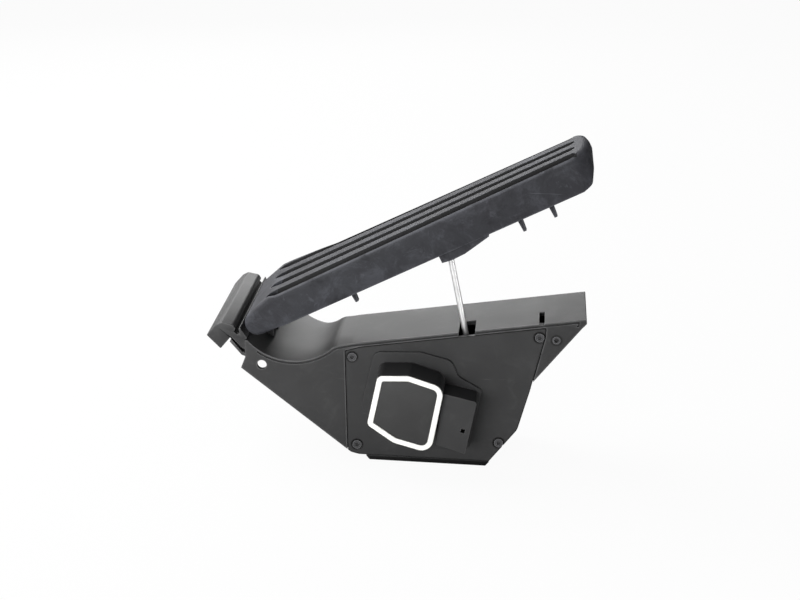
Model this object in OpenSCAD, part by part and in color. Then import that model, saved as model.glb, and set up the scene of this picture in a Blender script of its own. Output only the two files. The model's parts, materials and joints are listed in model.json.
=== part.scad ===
// Floor-hinged accelerator pedal with a pushrod-driven position sensor.
// X runs from heel to toe, Y away from the cover side, Z up.
// The origin is the middle of the foot plate's underside.

/* [Housing] */
// Width of the housing body
housing_w = 60; // [57:1:63]
// Wall thickness of the housing
wall_t = 3; // [2.6:0.1:3.4]
// Height of the top face at its shoulder
top_z = 93; // [92:0.5:94]
// Rise of the top face towards the toe, in degrees
top_rise = 9.27; // [8.8:0.1:9.8]
// Toe end of the housing
toe_x = 112; // [110:1:115]
// Heel face of the housing
heel_x = -137; // [-138:0.5:-136]
// Width of the housing at its heel
heel_w = 113; // [110:1:116]
// Radius of the bowl under the pedal's hinge
bowl_r = 44.4; // [43.6:0.2:45.2]
// Height of the bowl's lowest point
bowl_z = 76.8; // [76:0.2:78]
// Radius of the flare on the far side
flare_r = 36; // [32:1:40]
// Diameter of the heel mounting hole
heel_hole_d = 7.2; // [6:0.1:8]

/* [Foot plate] */
// Length of the foot plate
foot_l = 92; // [88:1:94]
// Thickness of the foot plate
foot_t = 4; // [3:0.5:5]

/* [Cover] */
// Thickness of the cover
cover_t = 3; // [2.5:0.1:3.5]
// Thickness of the cover's gasket
gasket_t = 0.8; // [0.5:0.1:1.2]
// Width of the ledge that carries the gasket
ledge_w = 4; // [3:0.5:5]
// Gap between the cover and its recess
cover_gap = 0.5; // [0.3:0.1:0.8]
// Diameter of the cover screws' heads
cover_head_d = 6.8; // [6:0.1:7.4]
// Diameter of the cover screws' shanks
cover_screw_d = 3.5; // [3:0.1:4]

/* [Sensor] */
// Height of the sensor box above the cover
sensor_h = 27; // [26:0.5:29]
// Wall thickness of the sensor box
sensor_wall = 2.4; // [2:0.1:2.8]
// Thickness of the sensor's cap
cap_t = 2.5; // [2:0.1:3]
// Width of the sealing bead
seal_w = 5; // [4.4:0.1:5.6]
// Thickness of the sealing bead
seal_t = 1; // [0.6:0.1:1.4]
// Height of the connector block above the cover
connector_h = 22; // [21:0.5:23]
// Thickness of the circuit board
board_t = 1.6; // [1.2:0.1:2]
// Width of a contact pin
contact_w = 0.8; // [0.6:0.05:1]

/* [Treadle] */
// Slope of the released treadle, in degrees
pad_tilt = 27.5; // [26:0.5:29]
// Length from the hinge to the toe
pad_l = 272; // [266:1:276]
// Radius of the nose around the hinge
nose_r = 9.3; // [9:0.1:9.8]
// Height of the top face above the hinge line at the heel
pad_rise = 14.6; // [14:0.1:15.4]
// Extra height of the top face at the toe
pad_crown = 1.7; // [1:0.1:2.2]
// Depth of the skirts below the hinge line at the toe
pad_drop = 11; // [10:0.2:12]
// Width at the heel
pad_w_heel = 76; // [74:1:78]
// Width at the toe
pad_w_toe = 57; // [55:1:60]
// Extra width of the far side at the heel
pad_flare = 6; // [4:0.5:8]
// Middle of the treadle across the car
pad_y = 5.5; // [4.5:0.5:6.5]
// Thickness of the skirts
skirt_t = 3; // [2.5:0.1:3.5]
// Thickness of the tread plate
tread_t = 5; // [4.4:0.1:5.6]
// Width of a tread groove
groove_w = 4.8; // [4:0.2:5.6]
// Depth of a tread groove
groove_d = 2.6; // [1.8:0.1:3]
// Thickness of the ribs under the treadle
rib_t = 2; // [1.6:0.1:2.6]

/* [Hinge] */
// Hinge line along the car
pivot_x = -127.7; // [-128.5:0.1:-127]
// Height of the hinge line
pivot_z = 105.3; // [104.8:0.1:106]
// Diameter of the hinge pin
pin_d = 5; // [4:0.1:6]
// Width of a hinge lug
lug_w = 6; // [5:0.5:7]
// Length of a hinge knuckle
knuckle_w = 7; // [6:0.5:8]
// Wall of the hinge bushes
bush_t = 1.6; // [1.2:0.1:1.8]

/* [Linkage] */
// Distance of the pushrod from the middle plane
rod_y = -18; // [-18.5:0.25:-17.5]
// Diameter of the pushrod
rod_d = 4.4; // [4:0.1:4.8]
// Length between the pushrod's joints
rod_l = 94; // [93:0.5:95]
// Diameter of the pushrod's round head
head_d = 8; // [7.4:0.1:8.6]
// Diameter of the pushrod's cross pin
cross_d = 4; // [3.4:0.1:4.4]
// Distance from the hinge to the pushrod's head along the treadle
head_u = 150.3; // [149:0.5:152]
// Distance of the pushrod's head below the hinge line
head_v = 11.8; // [11.4:0.1:12.4]
// Sensor shaft along the car
shaft_x = -20; // [-21:0.5:-19]
// Height of the sensor shaft
shaft_z = 50; // [49:0.5:51]
// Diameter of the sensor shaft
shaft_d = 8; // [7:0.2:9]
// Length of the sensor lever
lever_l = 56; // [55:0.5:57]
// Radius at which the springs push on the lever
spring_arm = 20; // [19:0.5:21]
// Mean diameter of the outer spring
spring_d = 14; // [13:0.5:15]
// Wire diameter of the outer spring
wire_d = 1.8; // [1.4:0.1:2]

/* [Heel bar] */
// Length of the heel bar
bar_l = 113; // [110:1:116]
// Width of the heel bar's foot
bar_w = 14.5; // [13:0.5:16]
// Height of the heel bar
bar_h = 19.7; // [18.5:0.1:21]

/* [Hidden] */

// Clearances
running = 0.05;
seat = 0.02;
past = 1;
// How far joined pieces run into each other
overlap = 0.5;
// Longer than any part of the object below the treadle
tall = 200;

// Smoothness of true circles
round_fn = 64;
// Steps of a rounded corner in an outline
corner_steps = 8;
// Half the angle of a corner that is too flat to round
flat_corner = 89.5;

// Faces of the housing across the car
near_y = -housing_w / 2;
far_y = housing_w / 2;
flare_y = near_y + heel_w;
cover_in_y = near_y + cover_t;
ledge_y = cover_in_y + gasket_t;
case_y = ledge_y + wall_t;
inner_far_y = far_y - wall_t;

// Main outline of the housing, seen from the cover side: x, z and corner radius
shoulder_x = -58;
shoulder_slope = 13.7;
shoulder_run = 14;
foot_x = foot_l / 2;
function top_at(x) = top_z + (x - shoulder_x) * tan(top_rise);
knee_x = 77;
knee_z = 71.5;
heel_low_z = 69.3;
heel_tip_x = heel_x - 3.2;
heel_top_z = 91.4;
low_x = -57.5;
lower_side = [
    [foot_x, foot_t, 0],
    [66, 31, 12],
    [knee_x - 1.4, knee_z - 2, 4]
];
upper_side = [
    [shoulder_x, top_z, 10],
    [shoulder_x - shoulder_run, top_z - shoulder_run * tan(shoulder_slope), 0],
    [heel_x, heel_top_z, 0],
    [heel_x, 78, 0],
    [heel_tip_x, heel_low_z, 0],
    [low_x, foot_t + 1.4, 5],
    [low_x + 6, foot_t, 4]
];
toe_end = [
    [toe_x - 2.8, top_at(toe_x) - 7, 3],
    [toe_x + 0.4, top_at(toe_x) - 3.4, 1],
    [toe_x, top_at(toe_x), 0.6]
];
housing_verts = concat(lower_side, toe_end, upper_side);
// The same outline with a plain toe, for the walls inside
core_verts = concat(lower_side, [[toe_x, top_at(toe_x), 0]], upper_side);

// Bowl under the hinge
bowl_fn = 128;
bowl_x = -102.5;
bowl_top = bowl_z + bowl_r;
bowl_mid = [bowl_x, bowl_top];

// Middle of the round shoulder that touches the bowl and the slope above it
shoulder_r = 12;
shoulder_along = [cos(shoulder_slope), sin(shoulder_slope)];
shoulder_up = [-sin(shoulder_slope), cos(shoulder_slope)];
shoulder_off = [shoulder_x, top_z] - shoulder_r * shoulder_up - bowl_mid;
shoulder_back = shoulder_off * shoulder_along;
shoulder_t = -shoulder_back + sqrt(pow(shoulder_back, 2) - shoulder_off * shoulder_off + pow(bowl_r + shoulder_r, 2));
shoulder_mid = bowl_mid + shoulder_off + shoulder_t * shoulder_along;

// Groove under the near edge of the top and of the bowl
rim_lip = 0.9;
rim_groove_w = 1.5;
rim_groove_d = 0.8;
rim_ends = [heel_x + 9, toe_x - 5];

// Partition between the open heel arm and the closed case
part_x = -61;
// Floor of the open arm space
arm_floor = [[heel_x + wall_t, 58], [-80, -past]];
// Angle through which the far wall flares, and its steps
flare_turn = 52;
flare_steps = 12;

// Cover outline inside the housing outline
cover_rim = 3.2;
cover_x0 = -63;
cover_x1 = 83.6;
cover_drop = 10;
cover_verts = [
    [cover_x0, top_at(cover_x0) - 5, 1],
    [cover_x0 + 3, -past, 0.5],
    [toe_x, -past, 1],
    [knee_x - 2, knee_z - 6, 1],
    [cover_x1, top_at(cover_x1) - cover_drop, 6],
    [cover_x1, top_at(cover_x1) - cover_rim, 1],
    [cover_x0 + 12, top_at(cover_x0 + 12) - cover_rim, 1]
];
cover_screw_at = [[-57.4, 82.5], [-53, 12], [79, 105], [52.7, 19.5]];
cover_screw_l = 12;
cover_head_t = 1.6;
head_sunk = 1;
screw_boss_t = 2.4;
key_r = 1.7;

// Foot screws: places, sizes
foot_screw_at = [for (sx = [-1, 1], sy = [-1, 1]) [sx * (foot_x - 6), sy * (housing_w / 2 - 12)]];
foot_screw_d = 4;
foot_screw_l = 9;
screw_end = 1.5;
foot_head_d = 7.5;
foot_head_t = 1.8;
foot_head_up = 0.4;
foot_chamfer = 2.5;
foot_edge = 1;
heel_hole = [-124.6, 72.6];
foot_hole_l = 64;

// Hinge
pivot = [pivot_x, pivot_z];
lug_at = [8, 26];
lug_r = nose_r - 3.1;
lug_gap = 0.8;
lug_foot = [[-3.4, 9.2], [7, 2.4]];
pin_end = 1.3;
knuckle_off = lug_w / 2 + lug_gap + knuckle_w / 2;
knuckle_at = [lug_at[0] - knuckle_off, lug_at[1] + knuckle_off];
clip_w = 1.2;
clip_in = 1;
clip_r = pin_d / 2 + 2;
pin_y0 = knuckle_at[0] - knuckle_w / 2 - clip_w - pin_end;
pin_y1 = knuckle_at[1] + knuckle_w / 2 + clip_w + pin_end;
hinge_bush_r = pin_d / 2 + bush_t;

// Places on the treadle are given along it (u) and square to it (v), from the hinge
function pad_to_world(u, v) = pivot + [u * cos(pad_tilt) - v * sin(pad_tilt), u * sin(pad_tilt) + v * cos(pad_tilt)];
head = pad_to_world(head_u, -head_v);
shaft = [shaft_x, shaft_z];

// Released angle of the lever, from the triangle of lever, rod and the treadle's reach
span = norm(head - shaft);
lever_rest = atan2(head[1] - shaft[1], head[0] - shaft[0])
    - acos((lever_l * lever_l + span * span - rod_l * rod_l) / (2 * lever_l * span));
crank = shaft + lever_l * [cos(lever_rest), sin(lever_rest)];
rod_lean = atan2(crank[0] - head[0], head[1] - crank[1]);
function rod_x_at(z) = head[0] + (head[1] - z) * tan(rod_lean);
head_w = 6;
head_wall = 2.2;
socket_r = head_d / 2 + head_wall;

// Slots in the housing's top
rod_slot_x = rod_x_at(top_at(26));
rod_slot = [rod_slot_x - 3.6, rod_slot_x + 8.4];
rod_slot_y = rod_y + 10;
slot_deep = 6;
slot_h = 12;
stop_slot = [78.2, 82];
stop_slot_y = [-24.5, -5];
stop_ramp_deep = 0.8;

// Lever: hub, cheeks and slot for the cross pin
hub_r = shaft_d / 2 + 5;
hub_y0 = cover_in_y + 2.8;
hub_y1 = 14.4;
cheek_t = 3;
fork_gap = rod_d + 1.6;
eye_r = cross_d / 2 + 5;
web_in = 0.6;
fork_deep = 14;
slip_along = 2.4;
slip_across = 1;
slip_shift = 0.5;

// Springs stand on the foot plate and push the lever up through a rocking cup
spring_y = -3.4;
knob_r = 5;
knob_w = 8;
cup_at = shaft + spring_arm * [cos(lever_rest), sin(lever_rest)];
arm_h = 4.8;
cup_r = spring_d / 2 + wire_d / 2 + 0.1;
knob_t = 4;
cup_drop = 10;
cup_t = 2.8;
saddle_l = 5.4;
saddle_w = 12;
saddle_lift = 2.6;
spring_low = foot_t;
spring_high = cup_at[1] - cup_drop;
spring_turns = 7;
inner_spring_d = spring_d - 2 * wire_d - 2.4;
guide_r = inner_spring_d / 2 - 0.9;
inner_wire_d = 1.2;
inner_turns = 9;

// Sensor shaft, bushes and rotor
shaft_bush_t = 2;
shaft_bush_r = shaft_d / 2 + shaft_bush_t;
near_bush_y = [near_y - 3, cover_in_y + 2];
far_bush_y = [hub_y1 + 0.6, inner_far_y - 1];
rotor_out = 11;
rotor_t = 5.4;
rotor_y = [near_y - rotor_out, near_y - rotor_out + rotor_t];
shaft_y0 = rotor_y[0] - past;
rotor_r = 14;
magnet_y0 = rotor_y[0] - 2;
magnet_r = [8, 12.5];
shaft_clip_r = shaft_d / 2 + 2.6;
shaft_clip_y = 1.5;
shaft_clip_t = 1.1;

// Sensor box, seen from the cover side: x, z and corner radius
sensor_verts = [
    [-43.2, 41.2, 4.5],
    [-23.8, 27.9, 14],
    [4.2, 20.6, 9],
    [12.9, 73.4, 9],
    [-13.2, 81.4, 8],
    [-35.9, 80.2, 4.5]
];
cap_y = near_y - sensor_h;
platform_h = 2;
// The cap lies inside the bead's outline, on a ledge
cap_in = seal_w - 1;
cap_gap = 0.2;
cap_ledge_t = 1.4;
cap_ledge_w = 2;
post_at = [[-32, 44], [-29, 70], [2, 57], [-6, 34]];
post_r = 2;
post_tip = 0.8;
seal_in = 0.3;
board_gap = 0.5;
chip_t = 1;
chip_w = 5;
big_chip = [-6, 62];
big_chip_w = 7;
platform_verts = [
    [-50, 45, 4],
    [-42, 30, 6],
    [-24, 20, 6],
    [2, 13, 8],
    [30, 14, 4],
    [39, 62, 4],
    [21, 72, 8],
    [16, 84, 8],
    [-7, 89.5, 8],
    [-41, 88, 6]
];
board_y = near_y - 15;

// Connector block beside the sensor box
connector_tilt = 10.4;
connector_mouth = [18.2, 22.5];
connector_verts = [[7.5, 25.7, 0.8], [28.8, 19.4, 1], [36.2, 61.2, 2.5], [11, 66.6, 1]];
socket_w = 15;
socket_deep = 21;
socket_y = [near_y - connector_h + 2.2, near_y - 8];
socket_past = 4;
window = [4, 15];
window_w = 3;
contact_n = 6;
contact_foot = 6;
contact_step = 2;
contact_reach = 12;
contact_pitch = 2.2;

// Treadle outline from the side, in u and v
pad_top0 = pad_rise;
pad_top1 = pad_rise + pad_crown;
treadle_verts = [
    [0, -nose_r, 0],
    [pad_l - 15.5, -pad_drop, 4],
    [pad_l - 8, -pad_drop + 2.2, 5],
    [pad_l - 3, 0, 10],
    [pad_l, 9, 6],
    [pad_l, pad_top1, 2.5],
    [14.5, pad_top0, 14],
    [-2.9, 8.85, 0]
];
nose_fn = 96;
nose_wall = 2.3;
nose_back = -1.9;
nose_turn = 17;
nose_skin = 0.3;
knuckle_web = [20, 10];
toe_end_extra = 0.6;
toe_step = 7;
toe_bow = 4;
toe_corner_r = 13;
toe_bow_r = 60;
groove_u = [18, pad_l - 12];
groove_n = 4;
groove_share = 3.55;
flare_u = [26, 62];
flare_bend = [24, 50];
function pad_width(u) = pad_w_heel + (pad_w_toe - pad_w_heel) * u / pad_l;
function groove_y(i, u) = pad_y + (i - (groove_n - 1) / 2) * pad_width(u) / groove_share;
rib_u = [for (share = [0.16, 0.28, 0.4, 0.475, 0.72, 0.82, 0.91]) share * pad_l];
rib_u0 = 18;
rib_y = 11;
rib_v = -6.5;
// Pegs under the treadle: share of its length and tip below the hinge line
pegs = [[0.2555, 21.2], [0.753, 23.5], [0.843, 23.2]];
peg_tip = 1.1;
peg_root = [-3, 4];
peg_top_v = 8;
peg_y = -8;
peg_w = 5;
// Boss for the pushrod's socket
boss_back = 7.3;
boss_l = 39;
boss_u = [head_u - boss_back, head_u - boss_back + boss_l];
boss_y = [rod_y - 8, rod_y + 8];
boss_v = -17;
boss_verts = [
    [boss_u[0], 12],
    [boss_u[0], -16],
    [head_u, boss_v],
    [head_u + 10.7, boss_v + 0.5],
    [boss_u[1], -pad_drop - 1],
    [boss_u[1], 12]
];
socket_out = 0.4;
socket_h = -boss_v - head_v + head_d / 2 + 2;

// Heel bar, in its own axes from its lowest outer corner
bar_at = [heel_x - 28.6, heel_top_z + 2.5];
bar_turn = 44.7;
bar_verts = [
    [0, 0, 0.8],
    [bar_w, 0, 0.8],
    [bar_w - 1.3, bar_h - 7.6, 2],
    [bar_w - 3.2, bar_h - 0.2, 1.8],
    [bar_w - 7, bar_h + 0.6, 3],
    [0.4, bar_h - 4.4, 3],
    [-0.9, bar_h - 9, 3]
];
bar_y1 = near_y + bar_l;
// Points of the wedge and the strip are given from the top of the housing's heel
heel_top = [heel_x, heel_top_z];
wedge_verts = [
    [-13, 3.1],
    [-10.6, 1.9],
    [-3.1, -5.8],
    [0, -7.6],
    [0, 0.2],
    [1.6, 1.6],
    [-2.7, 7.9],
    [-3.5, 10.1],
    [-4.7, 8.6],
    [-4.1, 5.4],
    [-5.9, 4.2],
    [-8.4, 6.6]
];
strip_verts = [[-11.4, -1.7], [-2.6, -11.8], [0, -12.8], [0, -10], [-2.4, -9.1], [-10, -0.1]];

// Toe pin
toe_pin_at = [91.2, 103.5];
toe_pin_r = 3;
toe_pin_l = 6;
toe_pin_out = 0.2;
toe_pin_wall = 1.3;

// Plane geometry

function unit(v) = v / norm(v);
function at(list, i) = list[(i + len(list)) % len(list)];
function flat(v) = [v[0], v[1]];
function turn_side(a, b, c) = sign((b[0] - a[0]) * (c[1] - b[1]) - (b[1] - a[1]) * (c[0] - b[0]));

// Points of one corner rounded to radius r
function corner(a, b, c, r) =
    let (e1 = unit(a - b), e2 = unit(c - b), half = acos(e1 * e2) / 2)
    r <= 0 || half > flat_corner ? [b] :
    let (m = b + unit(e1 + e2) * r / sin(half))
    let (p = b + e1 * r / tan(half) - m, q = b + e2 * r / tan(half) - m)
    let (start = atan2(p[1], p[0]), sweep = atan2(p[0] * q[1] - p[1] * q[0], p * q))
    [for (i = [0:corner_steps]) m + r * [cos(start + sweep * i / corner_steps), sin(start + sweep * i / corner_steps)]];

// Outline of vertices given as x, y and corner radius
function rounded(v) = [
    for (i = [0:len(v) - 1])
        each corner(flat(at(v, i - 1)), flat(v[i]), flat(at(v, i + 1)), v[i][2])
];

// The same vertices moved inwards by d, for vertices that run anticlockwise
function inset(v, d) = [
    for (i = [0:len(v) - 1])
        let (a = flat(at(v, i - 1)), b = flat(v[i]), c = flat(at(v, i + 1)))
        let (e1 = unit(b - a), e2 = unit(c - b))
        let (n1 = [-e1[1], e1[0]], n2 = [-e2[1], e2[0]])
        let (p = b + d * (n1 + n2) / (1 + n1 * n2))
        [p[0], p[1], v[i][2] > 0 ? max(0.3, v[i][2] - d * turn_side(a, b, c)) : 0]
];

// Solids from side outlines

module prism_y(y0, y1) {
    translate([0, y1, 0]) rotate([90, 0, 0]) linear_extrude(y1 - y0) children();
}

module rod_along_y(at_xz, r, y0, y1) {
    translate([at_xz[0], y1, at_xz[1]]) rotate([90, 0, 0]) cylinder(r = r, h = y1 - y0, $fn = round_fn);
}

module ring_along_y(at_xz, r_in, r_out, y0, y1) {
    difference() {
        rod_along_y(at_xz, r_out, y0, y1);
        rod_along_y(at_xz, r_in, y0 - past, y1 + past);
    }
}

module in_pad() {
    translate([pivot_x, 0, pivot_z]) rotate([0, -pad_tilt, 0]) children();
}

module in_lever() {
    translate([shaft_x, 0, shaft_z]) rotate([0, -lever_rest, 0]) children();
}

module in_connector() {
    translate([connector_mouth[0], 0, connector_mouth[1]]) rotate([0, connector_tilt, 0]) children();
}

// Housing

// What lies over the round shoulder, its surface moved in by d
module over_shoulder_2d(d) {
    reach = 2 * shoulder_r;
    difference() {
        polygon([
            shoulder_mid,
            shoulder_mid + reach * shoulder_up,
            shoulder_mid + reach * unit(bowl_mid - shoulder_mid)
        ]);
        translate(shoulder_mid) circle(r = shoulder_r - d + seat, $fn = bowl_fn);
    }
}

module side_2d() {
    difference() {
        polygon(rounded(housing_verts));
        translate(bowl_mid) circle(r = bowl_r, $fn = bowl_fn);
        over_shoulder_2d(0);
    }
}

// The plain outline moved in by d, with the bowl and its shoulder
module side_inset_2d(d) {
    difference() {
        polygon(rounded(inset(core_verts, d)));
        translate(bowl_mid) circle(r = bowl_r + d, $fn = bowl_fn);
        over_shoulder_2d(d);
    }
}

module rim_groove_2d() {
    deep = rim_lip + rim_groove_w;
    intersection() {
        difference() {
            side_inset_2d(rim_lip);
            side_inset_2d(deep);
        }
        polygon([
            [rim_ends[0], tall],
            [rim_ends[0], bowl_z - 2 * deep],
            [shoulder_x, bowl_z - 2 * deep],
            [shoulder_x, top_z - 2 * deep],
            [rim_ends[1], top_at(rim_ends[1]) - 2 * deep],
            [rim_ends[1], tall]
        ]);
    }
}

module inside_2d() {
    difference() {
        polygon(rounded(inset(core_verts, wall_t)));
        translate(bowl_mid) circle(r = bowl_r + wall_t, $fn = bowl_fn);
    }
}

// Plan of the flared body, with its walls moved in by d
module plan_2d(d) {
    arc_y = far_y + flare_r;
    arc_r = flare_r + d;
    arc = [
        for (i = [0:flare_steps])
            let (a = -90 - flare_turn * i / flare_steps)
            [shoulder_x, arc_y] + arc_r * [cos(a), sin(a)]
    ];
    last = arc[flare_steps];
    wide_y = flare_y - d;
    polygon(concat(
        [[toe_x + wall_t, near_y + d], [toe_x + wall_t, far_y - d]],
        arc,
        [
            [last[0] - (wide_y - last[1]) / tan(flare_turn), wide_y],
            [heel_tip_x - past, wide_y],
            [heel_tip_x - past, near_y + d]
        ]
    ));
}

module over_plan(d) {
    intersection() {
        children();
        translate([0, 0, -past]) linear_extrude(tall) plan_2d(d);
    }
}

module cover_2d(gap) {
    intersection() {
        polygon(rounded(inset(cover_verts, gap)));
        polygon(rounded(housing_verts));
    }
}

module case_opening_2d() {
    intersection() {
        polygon(rounded(inset(cover_verts, ledge_w)));
        polygon(rounded(inset(core_verts, ledge_w + 1)));
    }
}

module case_cavity() {
    over_plan(wall_t) prism_y(case_y, far_y + past) intersection() {
        inside_2d();
        translate([part_x + wall_t, 0]) square([tall, tall]);
    }
}

module arm_cavity() {
    over_plan(wall_t) prism_y(near_y, flare_y) difference() {
        polygon([
            arm_floor[0],
            [heel_x + wall_t, heel_top_z - wall_t],
            [part_x - wall_t, heel_top_z - wall_t],
            [part_x - wall_t, -past],
            arm_floor[1]
        ]);
        translate(bowl_mid) circle(r = bowl_r + wall_t, $fn = bowl_fn);
    }
}

module lug(y) {
    prism_y(y - lug_w / 2, y + lug_w / 2) union() {
        translate(pivot) circle(r = lug_r, $fn = round_fn);
        polygon([
            [pivot_x + lug_foot[0][0], pivot_z],
            [pivot_x + lug_foot[0][0], bowl_z + lug_foot[0][1]],
            [pivot_x + lug_foot[1][0], bowl_z + lug_foot[1][1]],
            [pivot_x + lug_r - 0.1, pivot_z - 3]
        ]);
    }
}

module housing() {
    boss_l = cover_screw_l + 2;
    bush_boss_r = shaft_bush_r + screw_boss_t;
    color([0.24, 0.24, 0.245]) difference() {
        union() {
            difference() {
                over_plan(0) prism_y(near_y - past, flare_y + past) side_2d();
                case_cavity();
                arm_cavity();
                prism_y(near_y - past, ledge_y) polygon(rounded(cover_verts));
                prism_y(ledge_y - past, case_y + past) case_opening_2d();
                prism_y(near_y - past, near_y + rim_groove_d) rim_groove_2d();
                // Way down through the floor for the springs
                translate([-foot_hole_l / 2, case_y, 0]) cube([foot_hole_l, inner_far_y - case_y, foot_t + wall_t + past]);
            }
            for (p = cover_screw_at) rod_along_y(p, cover_screw_d / 2 + screw_boss_t, ledge_y, ledge_y + boss_l);
            for (p = foot_screw_at)
                translate([p[0], p[1], foot_t]) cylinder(r = foot_screw_d / 2 + screw_boss_t, h = foot_screw_l, $fn = round_fn);
            rod_along_y(shaft, bush_boss_r, far_bush_y[0], inner_far_y + overlap);
            for (y = lug_at) lug(y);
            rod_along_y(toe_pin_at, toe_pin_r + screw_boss_t, near_y + overlap, near_y + toe_pin_l + wall_t);
        }
        for (p = cover_screw_at) rod_along_y(p, cover_screw_d / 2 + seat, near_y, ledge_y + cover_screw_l);
        for (p = foot_screw_at)
            translate([p[0], p[1], foot_t - past])
                cylinder(r = foot_screw_d / 2 + seat, h = foot_screw_l + past - screw_end, $fn = round_fn);
        rod_along_y(shaft, shaft_bush_r + seat, far_bush_y[0] - past, far_bush_y[1] + seat);
        for (y = lug_at) rod_along_y(pivot, pin_d / 2 + seat, y - lug_w / 2 - past, y + lug_w / 2 + past);
        rod_along_y(heel_hole, heel_hole_d / 2, near_y - past, near_y + wall_t + past);
        rod_along_y(toe_pin_at, toe_pin_r + seat, near_y - past, near_y + toe_pin_l);
        // Slot for the pushrod, open to the cover side
        translate([rod_slot[0], near_y - past, top_at(rod_slot[0]) - slot_deep])
            cube([rod_slot[1] - rod_slot[0], rod_slot_y - near_y + past, slot_h]);
        // Slot for the treadle's stop peg, with a shallow way in from the near edge
        translate([stop_slot[0], near_y - past, top_at(stop_slot[0]) - stop_ramp_deep])
            cube([stop_slot[1] - stop_slot[0], stop_slot_y[0] - near_y + 2 * past, slot_h]);
        translate([stop_slot[0], stop_slot_y[0], top_at(stop_slot[0]) - slot_deep])
            cube([stop_slot[1] - stop_slot[0], stop_slot_y[1] - stop_slot_y[0], slot_h]);
    }
}

// Foot plate

module foot_plate() {
    color([0.1, 0.1, 0.11]) difference() {
        union() {
            prism_y(near_y, far_y) polygon([
                [-foot_x + foot_chamfer, 0],
                [foot_x - foot_chamfer, 0],
                [foot_x, foot_t - foot_edge],
                [foot_x, foot_t],
                [-foot_x, foot_t],
                [-foot_x, foot_t - foot_edge]
            ]);
            translate([cup_at[0], spring_y, foot_t - overlap])
                cylinder(r = guide_r, h = knob_t + overlap, $fn = round_fn);
        }
        for (p = foot_screw_at) translate([p[0], p[1], -past]) {
            cylinder(r = foot_screw_d / 2 + seat, h = foot_t + 2 * past, $fn = round_fn);
            cylinder(r = foot_head_d / 2 + 0.2, h = past + foot_head_up + foot_head_t, $fn = round_fn);
        }
    }
}

module foot_screws() {
    color([0.55, 0.56, 0.58]) for (p = foot_screw_at) translate([p[0], p[1], 0]) difference() {
        union() {
            translate([0, 0, foot_head_up]) cylinder(r = foot_head_d / 2, h = foot_head_t, $fn = round_fn);
            translate([0, 0, foot_t / 2])
                cylinder(r = foot_screw_d / 2, h = foot_t / 2 + foot_screw_l - 2 * past, $fn = round_fn);
        }
        translate([0, 0, -past]) cylinder(r = key_r, h = past + foot_head_t, $fn = 6);
    }
}

// Cover with its sensor box and connector

module cover() {
    color([0.245, 0.245, 0.25]) difference() {
        union() {
            prism_y(near_y, cover_in_y) cover_2d(cover_gap);
            prism_y(near_y - platform_h, near_y + overlap) polygon(rounded(platform_verts));
            prism_y(cap_y, near_y) polygon(rounded(sensor_verts));
            prism_y(near_y - connector_h, near_y) polygon(rounded(connector_verts));
            rod_along_y(shaft, shaft_bush_r + screw_boss_t, near_y, near_bush_y[1]);
        }
        // Sensor space, from the cap's ledge to the platform
        prism_y(cap_y + cap_t + cap_ledge_t, near_y - platform_h) polygon(rounded(inset(sensor_verts, sensor_wall)));
        prism_y(cap_y - past, cap_y + cap_t) polygon(rounded(inset(sensor_verts, cap_in - cap_gap)));
        prism_y(cap_y, cap_y + cap_t + cap_ledge_t + past) polygon(rounded(inset(sensor_verts, cap_in + cap_ledge_w)));
        rod_along_y(shaft, shaft_bush_r + seat, near_bush_y[0] - past, near_bush_y[1] + past);
        // Connector socket, its lock window and the ways of its contacts
        in_connector() translate([-socket_w / 2, socket_y[0], -socket_past])
            cube([socket_w, socket_y[1] - socket_y[0], socket_deep + socket_past]);
        in_connector() translate([window[0], near_y - connector_h - past, window[1]])
            cube([window_w, past + window_w, window_w]);
        contacts(seat);
        // Recesses and holes of the cover screws
        for (p = cover_screw_at) {
            rod_along_y(p, cover_head_d / 2 + cover_gap, near_y - past, near_y + head_sunk);
            rod_along_y(p, cover_screw_d / 2 + cap_gap, near_y - past, cover_in_y + past);
        }
    }
}

module cover_gasket() {
    color([0.06, 0.06, 0.065]) prism_y(cover_in_y, ledge_y) difference() {
        intersection() {
            polygon(rounded(inset(cover_verts, cover_gap)));
            polygon(rounded(inset(core_verts, cover_gap)));
        }
        case_opening_2d();
        for (p = cover_screw_at) translate(p) circle(r = cover_screw_d / 2 + cap_gap, $fn = round_fn);
    }
}

module cover_screws() {
    color([0.3, 0.3, 0.31]) for (p = cover_screw_at) difference() {
        union() {
            rod_along_y(p, cover_head_d / 2, near_y + head_sunk - cover_head_t, near_y + head_sunk);
            rod_along_y(p, cover_screw_d / 2, near_y, ledge_y + cover_screw_l - past);
        }
        translate([p[0], near_y + head_sunk - cover_head_t / 2, p[1]])
            rotate([90, 0, 0]) cylinder(r = key_r, h = cover_head_t, $fn = 6);
    }
}

// Sensor

module sensor_cap() {
    color([0.28, 0.28, 0.285]) {
        prism_y(cap_y, cap_y + cap_t) polygon(rounded(inset(sensor_verts, cap_in)));
        for (p = post_at) {
            rod_along_y(p, post_r, cap_y + cap_t - overlap, board_y - board_t);
            rod_along_y(p, post_r / 2, cap_y + cap_t, board_y + post_tip);
        }
    }
}

module sensor_seal() {
    color([0.97, 0.97, 0.95]) prism_y(cap_y - seal_t, cap_y) difference() {
        polygon(rounded(inset(sensor_verts, seal_in)));
        polygon(rounded(inset(sensor_verts, seal_w + seal_in)));
    }
}

module sensor_board() {
    color([0.1, 0.32, 0.16]) prism_y(board_y - board_t, board_y) difference() {
        polygon(rounded(inset(sensor_verts, sensor_wall + board_gap)));
        for (p = post_at) translate(p) circle(r = post_r / 2 + running, $fn = round_fn);
    }
}

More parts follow.
